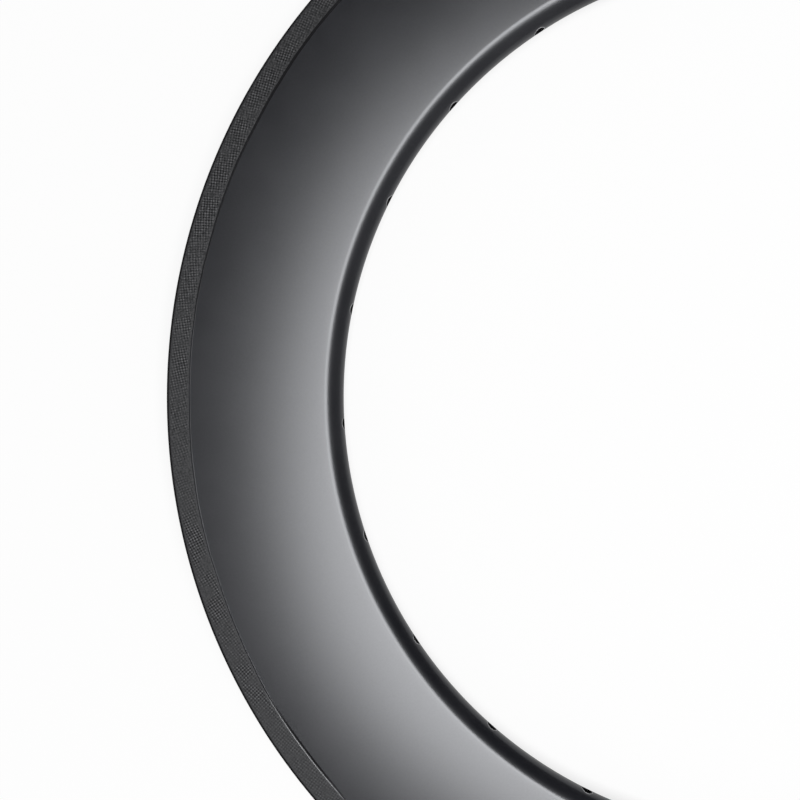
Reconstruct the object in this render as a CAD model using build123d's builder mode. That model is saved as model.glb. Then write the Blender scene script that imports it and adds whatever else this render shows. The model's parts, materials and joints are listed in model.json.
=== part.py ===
from build123d import *
import os
from math import asin, cos, degrees, pi, radians

# Deep carbon clincher rim for a road wheel: one hollow ring, drilled for its spokes and its valve.
# The wheel's axle is the Z axis, the origin is the wheel's centre, and Z = 0 is the rim's middle plane.
# Lengths are millimetres and angles are degrees.

# Ring: the tyre standard fixes the bead seat, and the flanges and the nose are measured from it
bead_seat_diameter = 622.0
flange_height = 6.0
rim_depth = 88.0

# Brake tracks: two flat parallel bands, the widest part of the rim, a small step above the sidewalls
track_width = 25.0
track_height = 11.5
track_step = 0.35

# Drilling: the nipples reach the spoke holes through the wider access holes in the tyre bed
spoke_count = 24
spoke_hole_diameter = 4.5
access_hole_width = 8.5
access_hole_sides = 6
valve_hole_diameter = 6.5
drill_overrun = 1.0

# Nose and sidewalls: curved, and drawn in short straight runs along their curves
nose_radius = 10.0
nose_land = 0.3
nose_runs = 2
sidewall_taper = 5.5
sidewall_runs = 4

# Tyre channel: flanges that lean over the tyre's bead, and a bed that slopes down to a flat well
flange_wall = 3.0
hook_overhang = 0.9
well_depth = 3.6
well_land = 0.3

# Walls round the hollow, whose sides bend at this share of the sidewall's length
sidewall_wall = 1.2
nose_wall = 2.6
nose_cheek = 4.8
bed_wall = 1.5
hollow_bend = 0.15

# Radii and half-widths that follow
bead_seat_r = bead_seat_diameter / 2
outer_r = bead_seat_r + flange_height
track_foot_r = outer_r - track_height
well_r = bead_seat_r - well_depth
bed_under_r = well_r - bed_wall
nose_r = outer_r - rim_depth
floor_r = nose_r + nose_wall
half_track = track_width / 2
half_shoulder = half_track - track_step
half_channel = half_track - flange_wall
half_hook = half_channel - hook_overhang
half_floor = nose_radius - nose_cheek

# The well's flat holds the access holes, and the nose's flat holds the widest hole through it
access_corner_r = access_hole_width / 2 / cos(pi / access_hole_sides)
half_well = access_corner_r + well_land
half_flat = max(valve_hole_diameter, spoke_hole_diameter) / 2 + nose_land
flat_angle = degrees(asin(half_flat / nose_radius))
nose_centre_r = nose_r + nose_radius * cos(radians(flat_angle))

# A drill points outwards along its spoke, and the valve is midway between two spokes
outward = (0, 90, 0)
from_base = (Align.CENTER, Align.CENTER, Align.MIN)
half_pitch = 180 / spoke_count


def straight_runs(curve, runs):
    """Points at equal steps along a curve, from its start to its end."""
    return [curve @ (run / runs) for run in range(runs + 1)]


def spoke_drill(start_r, wall):
    """Places round the ring and the depth for drilling outwards through one wall in line with the spokes."""
    places = PolarLocations(start_r - drill_overrun, spoke_count, start_angle=half_pitch)
    return places, wall + 2 * drill_overrun


with BuildPart() as rim:
    # Outside of the section: nose, bowed sidewalls, tracks, flanges and the channel between them
    with BuildSketch(Plane.XZ):
        with BuildLine():
            nose = CenterArc(
                (nose_centre_r, 0),
                nose_radius,
                start_angle=180 - flat_angle,
                arc_size=flat_angle + sidewall_taper - 90,
                mode=Mode.PRIVATE,
            )
            shoulder = (track_foot_r, half_shoulder)
            sidewall = TangentArc(nose @ 1, shoulder, tangent=nose % 1, mode=Mode.PRIVATE)
            Polyline(
                (nose_r, 0),
                *straight_runs(nose, nose_runs),
                *straight_runs(sidewall, sidewall_runs)[1:],
                (track_foot_r, half_track),
                (outer_r, half_track),
                (outer_r, half_hook),
                (bead_seat_r, half_channel),
                (well_r, half_well),
                (well_r, 0),
            )
            mirror(about=Plane.XZ)
        make_face()
    revolve(axis=Axis.Z)

    # Hollow between the sidewalls, from the nose's floor to the underside of the tyre bed
    with BuildSketch(Plane.XZ):
        with BuildLine():
            Polyline(
                (floor_r, 0),
                (floor_r, half_floor),
                sidewall @ hollow_bend - Vector(0, sidewall_wall),
                (bed_under_r, half_shoulder - sidewall_wall),
                (bed_under_r, 0),
            )
            mirror(about=Plane.XZ)
        make_face()
    revolve(axis=Axis.Z, mode=Mode.SUBTRACT)

    # Spoke holes through the nose
    spoke_places, spoke_depth = spoke_drill(nose_r, nose_wall)
    with spoke_places:
        Cylinder(
            spoke_hole_diameter / 2,
            spoke_depth,
            rotation=outward,
            align=from_base,
            mode=Mode.SUBTRACT,
        )

    # Access holes through the tyre bed, in line with the spoke holes
    access_places, access_depth = spoke_drill(bed_under_r, bed_wall)
    with BuildSketch(*[Plane(place * Location((0, 0, 0), outward)) for place in access_places]):
        RegularPolygon(access_corner_r, access_hole_sides)
    extrude(amount=access_depth, mode=Mode.SUBTRACT)

    # Valve hole through both walls
    with PolarLocations(nose_r - drill_overrun, 1):
        Cylinder(
            valve_hole_diameter / 2,
            well_r - nose_r + 2 * drill_overrun,
            rotation=outward,
            align=from_base,
            mode=Mode.SUBTRACT,
        )
rim.part.label = "rim"

os.makedirs("parts", exist_ok=True)
export_step(rim.part, "parts/rim.step")
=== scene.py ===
import json
from math import atan2, cos, pi, radians, sin, tan

import bpy
from mathutils import Euler, Matrix, Vector


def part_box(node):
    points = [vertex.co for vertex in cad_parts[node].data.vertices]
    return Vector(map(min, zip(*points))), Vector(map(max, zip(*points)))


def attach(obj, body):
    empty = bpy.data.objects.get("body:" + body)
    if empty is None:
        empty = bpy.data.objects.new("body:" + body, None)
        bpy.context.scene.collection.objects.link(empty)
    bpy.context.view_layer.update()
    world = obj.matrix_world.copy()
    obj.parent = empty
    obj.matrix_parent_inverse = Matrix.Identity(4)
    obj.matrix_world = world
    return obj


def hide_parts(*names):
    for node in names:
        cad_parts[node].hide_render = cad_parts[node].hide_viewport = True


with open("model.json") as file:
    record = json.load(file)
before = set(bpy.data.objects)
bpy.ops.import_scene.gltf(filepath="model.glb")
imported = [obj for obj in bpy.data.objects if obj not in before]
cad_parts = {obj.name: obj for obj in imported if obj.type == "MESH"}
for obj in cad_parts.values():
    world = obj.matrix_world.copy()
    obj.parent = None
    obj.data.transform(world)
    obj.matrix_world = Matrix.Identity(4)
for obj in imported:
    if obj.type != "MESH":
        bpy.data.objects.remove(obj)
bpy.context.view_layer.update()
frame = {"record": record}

# A deep carbon clincher rim that lies flat, seen from above. The axle is the Z axis of the frame.
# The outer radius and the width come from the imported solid, and the holes from the record's mounts.
MM = 0.001
low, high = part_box("rim")
mounts = {mount["name"]: mount for mount in frame["record"]["mounts"]}
spoke_holes = [mount for name, mount in mounts.items() if name.startswith("spoke_hole")]

# Ring
outer_r = high.x
half_track = high.z
rim_depth = 88 * MM
flange_height = 6 * MM
nose_r = outer_r - rim_depth
bead_seat_r = outer_r - flange_height
steps_round = 360

# Nose: a small flat and a row of arcs, each with its radius, its turn from the axle at its end, and its steps
sidewall_taper = radians(5.7)
nose_flat = 0.4 * MM
nose_arcs = [
    (8 * MM, radians(13.4), 5),
    (5.2 * MM, radians(42), 8),
    (20.8 * MM, radians(52), 4),
    (11.2 * MM, radians(67), 6),
    (6.6 * MM, pi / 2 - sidewall_taper, 6),
]
sidewall_steps = 20

# Rounded corners: steps of an arc, and how far off its support points are
corner_steps = 5
hollow_corner_steps = 2
support_gap = 0.08 * MM

# Brake tracks: the cloth's edge is a small sloped step that wavers round the ring
track_height = 11.5 * MM
track_step = 0.5 * MM
step_slope = 0.6 * MM
foot_rounding = 0.2 * MM
cloth_edge_rounding = 0.35 * MM
cloth_waver = 1.3 * MM
waver_size = 60 * MM
waver_detail = 3
waver_reach = 3 * MM
track_foot_r = outer_r - track_height

# Tyre channel
edge_rounding = 0.8 * MM
flange_wall = 3 * MM
hook_overhang = 0.9 * MM
lip_rounding = 0.8 * MM
bead_rounding = 0.9 * MM
well_depth = 3.6 * MM
well_rounding = 1.5 * MM
half_well = 5.2 * MM
well_r = bead_seat_r - well_depth

# Walls round the hollow
nose_wall = 2.6 * MM
sidewall_wall = 1.2 * MM
bed_wall = 1.5 * MM
half_floor = 4.8 * MM
hollow_bend = 0.15
hollow_rounding = 1.2 * MM

# Drilling
hole_sides = 32
spoke_hole_radius = spoke_holes[0]["dims"]["r_mm"] * MM
valve_hole_radius = mounts["valve_hole"]["dims"]["r_mm"] * MM
access_hole_radius = 4.25 * MM
first_spoke = atan2(spoke_holes[0]["pos_m"][1], spoke_holes[0]["pos_m"][0])
spoke_pitch = 2 * pi / len(spoke_holes)
drill_overrun = 1 * MM

# Points nearer than the weld are one point.
# Smooth shading stops where two faces meet at more than the crease.
weld = 0.005 * MM
crease = radians(28)


class Wire:
    """A socket of a node tree. Arithmetic on wires adds Math nodes, and node() adds a node of any kind."""

    def __init__(self, tree, socket=None):
        self.tree = tree
        self.socket = socket

    def node(self, kind, settings=None, sockets=None, output=0):
        """Adds a node. Its settings go in first, then a value, a wire or a list of wires for each socket."""
        made = self.tree.nodes.new(kind)
        for name, value in (settings or {}).items():
            setattr(made, name, value)
        for key, value in (sockets or {}).items():
            for item in value if isinstance(value, list) else [value]:
                if isinstance(item, Wire):
                    self.tree.links.new(item.socket, made.inputs[key])
                else:
                    made.inputs[key].default_value = item
        return Wire(self.tree, made.outputs[output])

    def math(self, operation, *values):
        return self.node("ShaderNodeMath", {"operation": operation}, dict(enumerate(values)))

    def __add__(self, other):
        return self.math("ADD", self, other)

    def __sub__(self, other):
        return self.math("SUBTRACT", self, other)

    def __rsub__(self, other):
        return self.math("SUBTRACT", other, self)

    def __mul__(self, other):
        return self.math("MULTIPLY", self, other)

    def __truediv__(self, other):
        return self.math("DIVIDE", self, other)

    def __pow__(self, other):
        return self.math("POWER", self, other)

    def __abs__(self):
        return self.math("ABSOLUTE", self)

    __radd__ = __add__
    __rmul__ = __mul__

    def sine(self):
        return self.math("SINE", self)

    def either(self, other):
        return self.math("MAXIMUM", self, other)

    def rise(self, start, end):
        """0 up to start and 1 from end on, eased in between."""
        settings = {"interpolation_type": "SMOOTHSTEP"}
        return self.node("ShaderNodeMapRange", settings, {"Value": self, "From Min": start, "From Max": end})

    def axes(self):
        """The three numbers of a vector."""
        return [self.node("ShaderNodeSeparateXYZ", {}, {0: self}, axis) for axis in "XYZ"]

    def lifted(self, rise):
        """A vector moved up, so that noise on it has another run."""
        return self.node("ShaderNodeVectorMath", {}, {0: self, 1: (0, 0, rise)})

    def noise(self, size, detail=1):
        """Cloudy noise from 0 to 1 on a vector, with blots of about this size."""
        return self.node("ShaderNodeTexNoise", {}, {"Vector": self, "Scale": 1 / size, "Detail": detail})

    def swing(self):
        """Noise from 0 to 1, as a swing from -1 to 1."""
        return (self - 0.5) * 2

    def blend(self, colour, other):
        """From one colour, where this wire is 0, to the other, where it is 1."""
        return self.node("ShaderNodeMix", {"data_type": "RGBA"}, {0: self, 6: colour, 7: other}, output=2)

    def cover(self, finish, other):
        """From one finish, where this wire is 0, to the other, where it is 1."""
        return self.node("ShaderNodeMixShader", {}, {0: self, 1: finish, 2: other})


def arc(centre, radius, start, end, steps):
    """Points on an arc in the section, with angles measured from the outward direction."""
    turns = [start + (end - start) * step / steps for step in range(steps + 1)]
    return [centre + radius * Vector((cos(turn), sin(turn))) for turn in turns]


def tangent_arc(start, heading, end, steps):
    """Points on the arc that leaves start along a heading and ends at end."""
    chord = end - start
    bend = atan2(chord.y, chord.x) - heading
    radius = chord.length / 2 / sin(bend)
    centre = start + radius * Vector((-sin(heading), cos(heading)))
    first = heading - pi / 2
    return arc(centre, radius, first, first + 2 * bend, steps)


def rounded(corners, steps):
    """A bent line through corners of (place, rounding), with an arc at each and support points beside it."""
    line = [corners[0][0]]
    for (before, _), (place, rounding), (after, _) in zip(corners, corners[1:], corners[2:]):
        back = (before - place).normalized()
        ahead = (after - place).normalized()
        half = back.angle(ahead) / 2
        reach = rounding / tan(half)
        centre = place + (back + ahead).normalized() * rounding / sin(half)
        first = place + back * reach - centre
        last = place + ahead * reach - centre
        turn = first.angle_signed(last)
        line.append(place + back * (reach + support_gap))
        line += [centre + Matrix.Rotation(-turn * step / steps, 2) @ first for step in range(steps + 1)]
        line.append(place + ahead * (reach + support_gap))
    return line + [corners[-1][0]]


def whole(half_outline):
    """A closed outline from its upper half, which starts and ends on the middle plane."""
    return [Vector((place.x, -place.y)) for place in half_outline] + half_outline[-2:0:-1]


def nose_line():
    """The nose, from its tip on the middle plane to the start of the sidewall."""
    line = [Vector((nose_r, 0)), Vector((nose_r, nose_flat))]
    facing = pi
    for radius, turn, steps in nose_arcs:
        centre = line[-1] - radius * Vector((cos(facing), sin(facing)))
        line += arc(centre, radius, facing, pi - turn, steps)[1:]
        facing = pi - turn
    return line


def sidewall_line():
    """The bowed sidewall, from the end of the nose to the foot of the brake track."""
    shoulder = Vector((track_foot_r - step_slope / 2, half_track - track_step))
    return tangent_arc(nose_line()[-1], sidewall_taper, shoulder, sidewall_steps)


def skin_outline():
    """The outside of the section: nose, sidewalls, brake tracks, flanges and tyre channel."""
    sidewall = sidewall_line()
    half_channel = half_track - flange_wall
    half_lip = half_channel - hook_overhang
    rest = rounded(
        [
            (sidewall[-2], 0),
            (sidewall[-1], foot_rounding),
            (Vector((track_foot_r + step_slope / 2, half_track)), cloth_edge_rounding),
            (Vector((outer_r, half_track)), edge_rounding),
            (Vector((outer_r, half_lip)), lip_rounding),
            (Vector((bead_seat_r, half_channel)), bead_rounding),
            (Vector((well_r, half_well)), well_rounding),
            (Vector((well_r, 0)), 0),
        ],
        corner_steps,
    )
    return whole(nose_line() + sidewall[1:-1] + rest[1:])


def hollow_outline():
    """The closed hollow between the sidewalls, from the nose's floor to the underside of the tyre bed."""
    floor_r = nose_r + nose_wall
    roof_r = well_r - bed_wall
    bend = sidewall_line()[round(hollow_bend * sidewall_steps)] - Vector((0, sidewall_wall))
    corner = Vector((roof_r, half_track - track_step - sidewall_wall))
    half = rounded(
        [
            (Vector((floor_r, 0)), 0),
            (Vector((floor_r, half_floor)), hollow_rounding),
            (bend, hollow_rounding),
            (corner, hollow_rounding),
            (Vector((roof_r, 0)), 0),
        ],
        hollow_corner_steps,
    )
    return whole(half)


def section_mesh():
    """Both outlines as closed loops of edges, measured from the tyre's bead and marked for the tree below."""
    loops = [skin_outline(), hollow_outline()]
    places, edges = [], []
    for loop in loops:
        first = len(places)
        places += loop
        edges += [(first + i, first + (i + 1) % len(loop)) for i in range(len(loop))]
    mesh = bpy.data.meshes.new("rim_section")
    mesh.from_pydata([(place.x - bead_seat_r, place.y, 0) for place in places], edges, [])
    mesh.attributes.new("hollow", "BOOLEAN", "POINT")
    mesh.attributes.new("waver", "FLOAT", "POINT")
    for i, place in enumerate(places):
        inside = i >= len(loops[0])
        near = 1 - abs(place.x - track_foot_r) / waver_reach
        mesh.attributes["hollow"].data[i].value = inside
        mesh.attributes["waver"].data[i].value = 0 if inside else max(near, 0)
    return mesh


def new_tree(name, inputs):
    """A Geometry Nodes tree with named inputs. Gives the tree and a wire for each input."""
    tree = bpy.data.node_groups.new(name, "GeometryNodeTree")
    tree.interface.new_socket("Geometry", in_out="OUTPUT", socket_type="NodeSocketGeometry")
    for label, kind in inputs.items():
        tree.interface.new_socket(label, in_out="INPUT", socket_type="NodeSocket" + kind)
    entry = tree.nodes.new("NodeGroupInput")
    return tree, {label: Wire(tree, entry.outputs[label]) for label in inputs}


def turned_rim():
    """Turns the section round the axle, wavers the cloth's edge and drills all the holes."""
    tree, given = new_tree(
        "turned_rim",
        {
            "Section": "Geometry",
            "Bead radius": "Float",
            "Steps round": "Int",
            "Cloth waver": "Float",
            "Spoke holes": "Int",
            "First spoke": "Float",
            "Spoke hole radius": "Float",
            "Access hole radius": "Float",
            "Valve hole radius": "Float",
            "Nose radius": "Float",
            "Bed radius": "Float",
            "Hole sides": "Int",
            "Weld": "Float",
            "Crease": "Float",
            "Finish": "Material",
        },
    )
    base = Wire(tree)

    def named(name, kind):
        return base.node("GeometryNodeInputNamedAttribute", {"data_type": kind}, {"Name": name}, "Attribute")

    def loop(output):
        sockets = {"Geometry": given["Section"], "Selection": named("hollow", "BOOLEAN")}
        part = base.node("GeometryNodeSeparateGeometry", {"domain": "POINT"}, sockets, output)
        profile = base.node("GeometryNodeMeshToCurve", {}, {"Mesh": part})
        return base.node("GeometryNodeCurveToMesh", {}, {"Curve": bead, "Profile Curve": profile})

    circle = {"Resolution": given["Steps round"], "Radius": given["Bead radius"]}
    bead = base.node("GeometryNodeCurvePrimitiveCircle", {"mode": "RADIUS"}, circle)
    bead = base.node("GeometryNodeSetCurveNormal", {"mode": "Z_UP"}, {"Curve": bead})
    skin, hollow = loop("Inverted"), loop("Selection")

    # The cloth's edge moves in and out by a slow noise
    place = base.node("GeometryNodeInputPosition")
    flat = base.node("ShaderNodeVectorMath", {"operation": "MULTIPLY"}, {0: place, 1: (1, 1, 0)})
    outward = base.node("ShaderNodeVectorMath", {"operation": "NORMALIZE"}, {0: flat})
    swing = place.noise(waver_size, waver_detail).swing()
    amount = swing * named("waver", "FLOAT") * given["Cloth waver"]
    offset = base.node("ShaderNodeVectorMath", {"operation": "SCALE"}, {0: outward, "Scale": amount})
    skin = base.node("GeometryNodeSetPosition", {}, {"Geometry": skin, "Offset": offset})

    def drill(radius, length, shift):
        sockets = {"Vertices": given["Hole sides"], "Radius": radius, "Depth": length}
        rod = base.node("GeometryNodeMeshCylinder", {"fill_type": "NGON"}, sockets)
        move = base.node("ShaderNodeCombineXYZ", {}, {"Z": shift})
        return base.node("GeometryNodeTransform", {}, {"Geometry": rod, "Translation": move})

    # One drill for a spoke has a thin part through the nose and a wide part through the tyre bed
    spoke_length = nose_wall + 2 * drill_overrun
    access_length = bed_wall + 2 * drill_overrun
    span = given["Bed radius"] - given["Nose radius"]
    thin = drill(given["Spoke hole radius"], spoke_length, nose_wall / 2)
    wide = drill(given["Access hole radius"], access_length, span - bed_wall / 2)
    spoke_drill = base.node("GeometryNodeJoinGeometry", {}, {"Geometry": [thin, wide]})
    circle = {"Resolution": given["Spoke holes"], "Radius": given["Nose radius"]}
    holes = base.node("GeometryNodeCurvePrimitiveCircle", {"mode": "RADIUS"}, circle)
    turn = base.node("ShaderNodeCombineXYZ", {}, {"Z": given["First spoke"]})
    holes = base.node("GeometryNodeTransform", {}, {"Geometry": holes, "Rotation": turn})
    aim = base.node("FunctionNodeAlignRotationToVector", {"axis": "Z"}, {"Vector": place})
    sockets = {"Points": holes, "Instance": spoke_drill, "Rotation": aim}
    spoke_drills = base.node("GeometryNodeInstanceOnPoints", {}, sockets)
    spoke_drills = base.node("GeometryNodeRealizeInstances", {}, {"Geometry": spoke_drills})

    # The valve's drill goes through both walls
    rod = drill(given["Valve hole radius"], span + 2 * drill_overrun, given["Nose radius"] + span / 2)
    valve_drill = base.node("GeometryNodeTransform", {}, {"Geometry": rod, "Rotation": (0, pi / 2, 0)})

    settings = {"operation": "DIFFERENCE", "solver": "MANIFOLD"}
    sockets = {"Mesh 1": skin, "Mesh 2": [hollow, spoke_drills, valve_drill]}
    rim = base.node("GeometryNodeMeshBoolean", settings, sockets)
    rim = base.node("GeometryNodeMergeByDistance", {}, {"Geometry": rim, "Distance": given["Weld"]})

    # Smooth faces, with sharp edges only at real corners
    rim = base.node("GeometryNodeSetShadeSmooth", {"domain": "FACE"}, {0: rim, "Shade Smooth": True})
    angle = base.node("GeometryNodeInputMeshEdgeAngle")
    sharp = angle.math("GREATER_THAN", angle, given["Crease"])
    sockets = {0: rim, "Selection": sharp, "Shade Smooth": False}
    rim = base.node("GeometryNodeSetShadeSmooth", {"domain": "EDGE"}, sockets)
    rim = base.node("GeometryNodeRealizeInstances", {}, {"Geometry": rim})
    rim = base.node("GeometryNodeSetMaterial", {}, {"Geometry": rim, "Material": given["Finish"]})
    tree.links.new(rim.socket, tree.nodes.new("NodeGroupOutput").inputs["Geometry"])
    return tree


def grown(name, mesh, tree, values):
    """A plain mesh object from a mesh put through a tree with these values for its named inputs."""
    seed = bpy.data.objects.new(name + "_seed", mesh)
    bpy.context.scene.collection.objects.link(seed)
    modifier = seed.modifiers.new("tree", "NODES")
    modifier.node_group = tree
    for socket in tree.interface.items_tree:
        if socket.name in values:
            modifier[socket.identifier] = values[socket.name]
    shape = seed.evaluated_get(bpy.context.evaluated_depsgraph_get())
    result = bpy.data.meshes.new_from_object(shape)
    bpy.data.objects.remove(seed)
    result.name = name
    piece = bpy.data.objects.new(name, result)
    bpy.context.scene.collection.objects.link(piece)
    return piece


def new_material(name):
    """An empty material and a wire to start its tree from."""
    material = bpy.data.materials.new(name)
    material.use_nodes = True
    material.node_tree.nodes.clear()
    return material, Wire(material.node_tree)


# Satin coat on the nose and the sidewalls, faintly clouded
cool_tint = (0.955, 0.968, 1, 1)
satin_black = (0.0038, 0.0041, 0.0066, 1)
satin_smoke = (0.0088, 0.0091, 0.012, 1)
satin_roughness = 0.313
satin_gloss = 0.919
smoke_range = (0.36, 0.64)
cloud_size = 26 * MM
cloud_detail = 3
cloud_roughness = 0.01
grain_size = 1.1 * MM
grain_detail = 2
grain_roughness = 0.005

# Woven cloth on the brake tracks, with its pattern clear in some patches and flooded with resin in others
cloth_black = (0.005, 0.005, 0.0055, 1)
cloth_grey = (0.138, 0.138, 0.143, 1)
cloth_roughness = 0.5
cloth_gloss = 0.47
cloth_height = (half_track - 2 * track_step, half_track - 1.5 * track_step)
tow_width = 0.96 * MM
weave_slant = radians(30)
weave_relief = 0.03 * MM
drift_sizes = (9 * MM, 6.3 * MM)
drift_turn = 1.3
hem_end = (0.8 * MM, 1.5 * MM)
rows_end = (outer_r - 2.6 * MM, outer_r - 1.4 * MM)
patch_size = 9 * MM
patch_detail = 2
patch_range = (0.26, 0.6)
stretch_lift = 27.1
stretch_size = 45 * MM
stretch_range = (0.42, 0.6)
least_clear = 0.4

# Painted shade in the weave's pits and painted highlights in its specks, and the light that the cloth has
# without them
fleck_size = 1.4 * MM
lint_size = 0.8 * MM
pit_range = (0.1, 0.55)
pit_fleck = (0.34, 0.5)
least_pit = 0.3
speck_range = (0.2, 0.9)
speck_fleck = (0.42, 0.6)
speck_light = 0.9
speck_loss = 0.85
cloth_light = 0.13
hem_light = 0.03
fleck_light = 0.06
lint_light = 0.225
lint_shade = 0.25

# Foot of the cloth: painted shade as a dark line, broad where the shade mask is high, and a thin one under a
# painted glint line
edge_lift = 11.04
edge_size = 150 * MM
glint_range = (0.57, 0.68)
shade_range = (0.4, 0.55)
foot_shade_start = (-0.55 * MM, -0.25 * MM)
broad_shade_end = (0.25 * MM, 0.5 * MM)
thin_shade_end = (-0.15 * MM, 0.05 * MM)
foot_shade_base = 0.1
foot_shade_gain = 0.7
glint_line_grey = (0.105, 0.105, 0.108, 1)
glint_line_start = (-0.1 * MM, 0.05 * MM)
glint_line_end = (0.55 * MM, 0.7 * MM)
glint_band_width = 0.5 * MM
cloth_start = (0.1 * MM, 0.2 * MM)

# Painted shade on one side of the ring: the dark line at the foot is wider there, and the cloth beside it is
# darker
shaded_side_span = (40 * MM, 160 * MM)
shaded_side_widening = 0.5 * MM
shaded_side_darkening = 0.2
shaded_side_speck_loss = 0.15
shaded_side_dimming = 0.04

# Bare carbon on the outer edges and in the holes, with painted shade at each hole's mouth and a pale painted
# highlight ring round that
bare_black = (0.0075, 0.0075, 0.0081, 1)
bare_grey = (0.0138, 0.0138, 0.0148, 1)
bare_roughness = 0.7
bare_gloss = 0.05
bare_edge = (outer_r - 1.6 * MM, outer_r - 0.95 * MM)
hole_highlight_grey = (0.4, 0.4, 0.41, 1)
mouth_shade_edge = (0.72 * MM, 0.8 * MM)
highlight_ring_edge = (1.0125 * MM, 1.35 * MM)

# Tyre channel
channel_black = (0.0175, 0.0175, 0.0188, 1)
channel_grey = (0.0375, 0.0375, 0.0388, 1)
channel_range = (0.3, 0.7)
channel_roughness = 0.45
channel_grain = 0.05
channel_gloss = 0.5
channel_side = (half_track - flange_wall / 2, half_track - flange_wall / 3)
channel_floor = (well_r - bed_wall / 2, well_r - bed_wall / 4)


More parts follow.
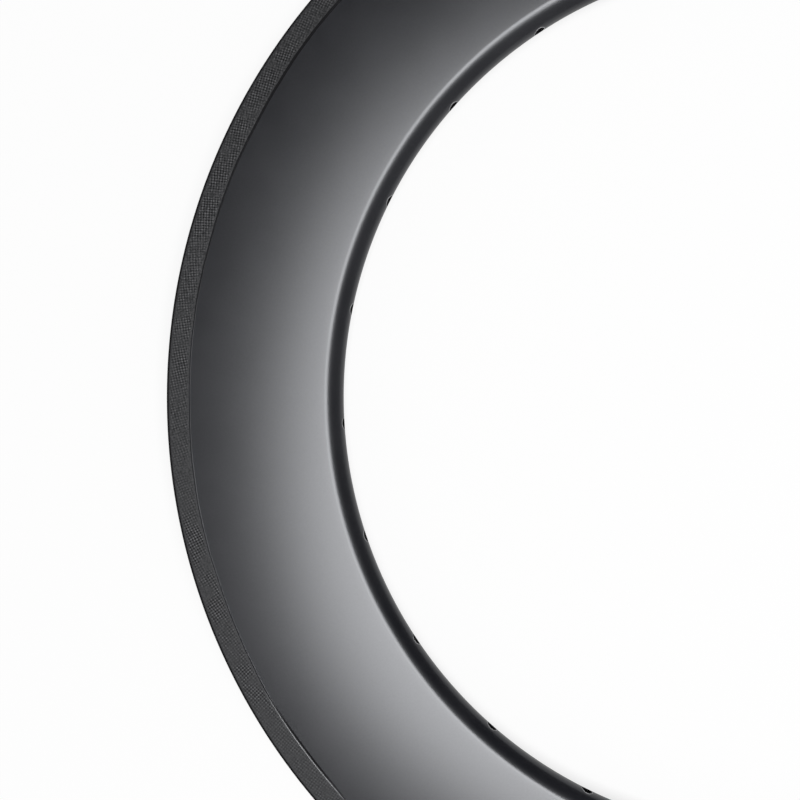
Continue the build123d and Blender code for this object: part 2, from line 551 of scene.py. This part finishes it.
def carbon_finish():
    """Black carbon: satin on nose and sidewalls, woven cloth on the tracks, bare in the tyre channel."""
    material, base = new_material("satin_carbon")
    place = base.node("ShaderNodeTexCoord", output="Object")
    x, y, z = place.axes()
    height = abs(z)
    radius = (x * x + y * y) ** 0.5
    turn = y.math("ARCTAN2", y, x)

    def finish(colour, roughness, gloss, **more):
        sockets = {"Base Color": colour, "Roughness": roughness, "Specular IOR Level": gloss}
        return base.node("ShaderNodeBsdfPrincipled", {}, {**sockets, "Specular Tint": cool_tint, **more})

    # Distance from the nearest hole's wall: painted shade at its mouth, and the painted highlight ring round
    # that
    aside = radius * turn.math("PINGPONG", turn - first_spoke, spoke_pitch / 2).sine()
    from_spoke = (aside * aside + z * z) ** 0.5 - spoke_hole_radius
    from_valve = (y * y + z * z) ** 0.5 - valve_hole_radius + (1 - x.rise(0, valve_hole_radius))
    from_hole = from_spoke.math("MINIMUM", from_spoke, from_valve)
    hole_mouth_shade = 1 - from_hole.rise(*mouth_shade_edge)
    hole_highlight_ring = 1 - from_hole.rise(*highlight_ring_edge)

    # Depth into the cloth from its wavering foot, and the painted shade and painted glint line at its foot
    depth = radius - (track_foot_r + place.noise(waver_size, waver_detail).swing() * cloth_waver)
    edge_noise = place.lifted(edge_lift).noise(edge_size)
    glint = edge_noise.rise(*glint_range)
    shade = 1 - edge_noise.rise(*shade_range)
    # Painted shade on one side of the ring, towards +y
    shaded_side = y.rise(*shaded_side_span)
    outside = height.rise(*cloth_height)
    on_track = (depth - glint * glint_band_width).rise(*cloth_start) * outside
    darkness = foot_shade_base + shade * (foot_shade_gain + shaded_side_darkening * shaded_side)
    broad = (1 - depth.rise(*broad_shade_end)) * darkness * (1 - glint)
    thin = (1 - depth.rise(*thin_shade_end)) * glint
    painted_foot_shade = (depth + shaded_side.either(glint) * shaded_side_widening).rise(*foot_shade_start) * (broad + thin) * outside
    painted_glint_line = depth.rise(*glint_line_start) * (1 - depth.rise(*glint_line_end)) * glint * outside

    # Bare past the outer edge's rounding, and the channel between the flanges
    on_edge = radius.rise(*bare_edge)
    in_channel = radius.rise(*channel_floor) * (1 - height.rise(*channel_side))

    # Satin coat, with the pale painted glint line at the cloth's foot
    cloud = place.noise(cloud_size, cloud_detail)
    grain = place.noise(grain_size, grain_detail)
    satin_colour = ((cloud + grain) / 2).rise(*smoke_range).blend(satin_black, satin_smoke)
    satin_colour = painted_glint_line.blend(satin_colour, glint_line_grey)
    roughness = satin_roughness + cloud.swing() * cloud_roughness + grain.swing() * grain_roughness
    satin = finish(satin_colour, roughness, satin_gloss)

    # Plain weave laid at a slant: tows with painted highlights and tows with painted shade take turns, clear
    # in some patches
    tows = pi * (outer_r - track_height / 2) / tow_width
    drift = [place.noise(size).swing() * drift_turn for size in drift_sizes]
    across = (radius - track_foot_r) * (pi / tow_width)
    one_way = turn * round(tows * cos(weave_slant)) + across * sin(weave_slant) + drift[0]
    other_way = turn * round(tows * sin(weave_slant)) - across * cos(weave_slant) + drift[1]
    check = one_way.sine() * other_way.sine()
    hem = 1 - depth.rise(*hem_end)
    rows = (1 - hem) * (1 - radius.rise(*rows_end))
    stretch = place.lifted(stretch_lift).noise(stretch_size).rise(*stretch_range)
    patch = place.noise(patch_size, patch_detail).rise(*patch_range)
    clear = patch * (least_clear + (1 - least_clear) * stretch) * rows

    # Painted shade in the pits between the tows, painted highlights as pale specks on them, and lint
    fleck = place.noise(fleck_size)
    lint = place.noise(lint_size)
    pit_shade = (check * -1).rise(*pit_range) * clear * (least_pit + (1 - least_pit) * fleck.rise(*pit_fleck))
    speck_sheen = check.rise(*speck_range) * clear * (speck_light - shaded_side_speck_loss * shaded_side)
    speck_sheen = speck_sheen * (1 - speck_loss * fleck.rise(*speck_fleck))
    fuzz = fleck.swing() * fleck_light + lint.swing() * (lint_light + lint_shade * shade)
    # Painted shade: the cloth is darker on that side
    light = cloth_light - shaded_side_dimming * shaded_side + fuzz + speck_sheen + hem * hem_light
    bump = base.node("ShaderNodeBump", {}, {"Height": abs(check) * clear, "Distance": weave_relief})
    cloth = finish(light.blend(cloth_black, cloth_grey), cloth_roughness, cloth_gloss, Normal=bump)

    # Bare carbon, which also carries the painted shade and the painted highlight rings, and the channel, then
    # each finish in its place
    bare_and_ring_colour = hole_highlight_ring.blend(grain.blend(bare_black, bare_grey), hole_highlight_grey)
    bare = finish(hole_mouth_shade.blend(bare_and_ring_colour, bare_black), bare_roughness, bare_gloss)
    channel_colour = cloud.rise(*channel_range).blend(channel_black, channel_grey)
    channel = finish(channel_colour, channel_roughness + grain.swing() * channel_grain, channel_gloss)
    bare_and_painted_light = on_edge.either(hole_highlight_ring).either(painted_foot_shade).either(pit_shade * on_track)
    coated = in_channel.cover(on_track.cover(satin, cloth), channel)
    surface = (bare_and_painted_light * (1 - in_channel * (1 - hole_mouth_shade))).cover(coated, bare)
    base.tree.links.new(surface.socket, base.tree.nodes.new("ShaderNodeOutputMaterial").inputs["Surface"])
    return material


# Floor
plain_white = (1, 1, 1, 1)
floor_reach = 8.0
floor_pale = (0.95, 0.95, 0.95, 1)
floor_white_share = 0.8
floor_fade = (600 * MM, 1600 * MM)
floor_mirrored = (0.54, 0.54, 0.54, 1)
floor_drop = 0.05 * MM

# Room: the strength of each light, and where it fades as a direction points more up, ahead or aside
overhead_light = 0.1
room_light = 0.032
room_top = (0.5, 0.9)
overhead_spread = (0.12, 0.36)
horizon_light = 0.59
horizon_fade = (0, 0.1)
card_light = 0.265
card_spread = (-0.6, 0.5)
card_top = (0.6, 0.85)
back_light = 0.36
back_spread = (-0.2, 0.6)
back_top = (0.5, 0.75)

# The photo's camera and lamp are turned a little round the axle from the rim's own frame
photo_turn = radians(3.93)
soft_box_place = Vector((615, -379, 3492)) * MM
soft_box_aim = Vector((-150, 0, 0)) * MM
soft_box_size = (2300 * MM, 1896 * MM)
soft_box_roll = -0.237
soft_box_radiance = 9.1

camera_place = Vector((-142, -5.2, 512.6)) * MM
camera_tilt = (radians(0.36), radians(-0.11))
camera_lens = 44.18
camera_shift = -0.14
sensor_width = 36


def pale_floor():
    """A wide floor that keeps the rim's shadow, pale as seen and as mirrored, and white far off."""
    mesh = bpy.data.meshes.new("floor")
    level = low.z - floor_drop
    corners = [(i * floor_reach, j * floor_reach, level) for i, j in ((-1, -1), (1, -1), (1, 1), (-1, 1))]
    mesh.from_pydata(corners, [], [(0, 1, 2, 3)])
    floor = bpy.data.objects.new("floor", mesh)
    bpy.context.scene.collection.objects.link(floor)
    material, base = new_material("pale_floor")
    camera_ray = base.node("ShaderNodeLightPath", output="Is Camera Ray")
    seen = camera_ray
    for ray in ("Is Glossy Ray", "Is Transmission Ray"):
        seen = seen.either(base.node("ShaderNodeLightPath", output=ray))
    matt = base.node("ShaderNodeBsdfDiffuse", {}, {"Color": floor_pale})
    pale = camera_ray.blend(floor_mirrored, plain_white)
    white = base.node("ShaderNodeEmission", {}, {"Color": pale, "Strength": 1.0})
    place = base.node("ShaderNodeTexCoord", output="Object")
    far = base.node("ShaderNodeVectorMath", {"operation": "LENGTH"}, {0: place}, "Value").rise(*floor_fade)
    share = floor_white_share + far * (1 - floor_white_share)
    surface = (seen * share).cover(matt, white)
    base.tree.links.new(surface.socket, base.tree.nodes.new("ShaderNodeOutputMaterial").inputs["Surface"])
    mesh.materials.append(material)


def dim_room():
    """A dim room, pale where it meets the floor, with broad pale cards along its front and its left."""
    world = bpy.data.worlds.new("room")
    world.use_nodes = True
    world.node_tree.nodes.clear()
    base = Wire(world.node_tree)
    side, ahead, up = base.node("ShaderNodeTexCoord", output="Generated").axes()
    card = (ahead * -1).rise(*card_spread) * (1 - up.rise(*card_top))
    horizon = 1 - up.rise(*horizon_fade)
    back = (side * -1).rise(*back_spread) * (1 - up.rise(*back_top))
    overhead = up.rise(*room_top) * (1 - abs(ahead).rise(*overhead_spread))
    room = room_light + overhead * (overhead_light - room_light)
    room = room + (card * card_light).either(back * back_light)
    strength = room * (1 - horizon) + horizon * horizon_light
    dim = base.node("ShaderNodeBackground", {}, {"Color": plain_white, "Strength": strength})
    white = base.node("ShaderNodeBackground", {}, {"Color": plain_white, "Strength": 1.0})
    light = base.node("ShaderNodeLightPath", output="Is Camera Ray").cover(dim, white)
    base.tree.links.new(light.socket, base.tree.nodes.new("ShaderNodeOutputWorld").inputs["Surface"])
    bpy.context.scene.world = world


def soft_box():
    """One large soft box overhead, a little to the valve's side."""
    light = bpy.data.lights.new("soft_box", "AREA")
    light.shape = "RECTANGLE"
    light.size, light.size_y = soft_box_size
    light.energy = soft_box_radiance * pi * light.size * light.size_y
    lamp = bpy.data.objects.new("soft_box", light)
    back = (soft_box_place - soft_box_aim).normalized()
    side = Vector((0, 1, 0)).cross(back).normalized()
    turned = Matrix((side, back.cross(side), back)).transposed() @ Matrix.Rotation(soft_box_roll, 3, "Z")
    around = Matrix.Rotation(photo_turn, 4, "Z")
    lamp.matrix_world = around @ Matrix.Translation(soft_box_place) @ turned.to_4x4()
    bpy.context.scene.collection.objects.link(lamp)


def photo_camera():
    """The photograph's place over the rim, close above its left half and looking straight down."""
    lens = bpy.data.cameras.new("camera")
    lens.sensor_fit = "HORIZONTAL"
    lens.sensor_width = sensor_width
    lens.lens = camera_lens
    lens.shift_x = camera_shift
    camera = bpy.data.objects.new("camera", lens)
    around = Matrix.Rotation(photo_turn, 4, "Z")
    tilt = Euler((*camera_tilt, 0)).to_matrix().to_4x4()
    camera.matrix_world = around @ Matrix.Translation(camera_place) @ tilt
    bpy.context.scene.collection.objects.link(camera)
    bpy.context.scene.camera = camera


rim = grown(
    "carbon_rim",
    section_mesh(),
    turned_rim(),
    {
        "Bead radius": bead_seat_r,
        "Steps round": steps_round,
        "Cloth waver": cloth_waver,
        "Spoke holes": len(spoke_holes),
        "First spoke": first_spoke,
        "Spoke hole radius": spoke_hole_radius,
        "Access hole radius": access_hole_radius,
        "Valve hole radius": valve_hole_radius,
        "Nose radius": nose_r,
        "Bed radius": well_r,
        "Hole sides": hole_sides,
        "Weld": weld,
        "Crease": crease,
        "Finish": carbon_finish(),
    },
)
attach(rim, "root")
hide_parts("rim")

pale_floor()
dim_room()
soft_box()
photo_camera()
bpy.context.scene.view_settings.view_transform = "Standard"
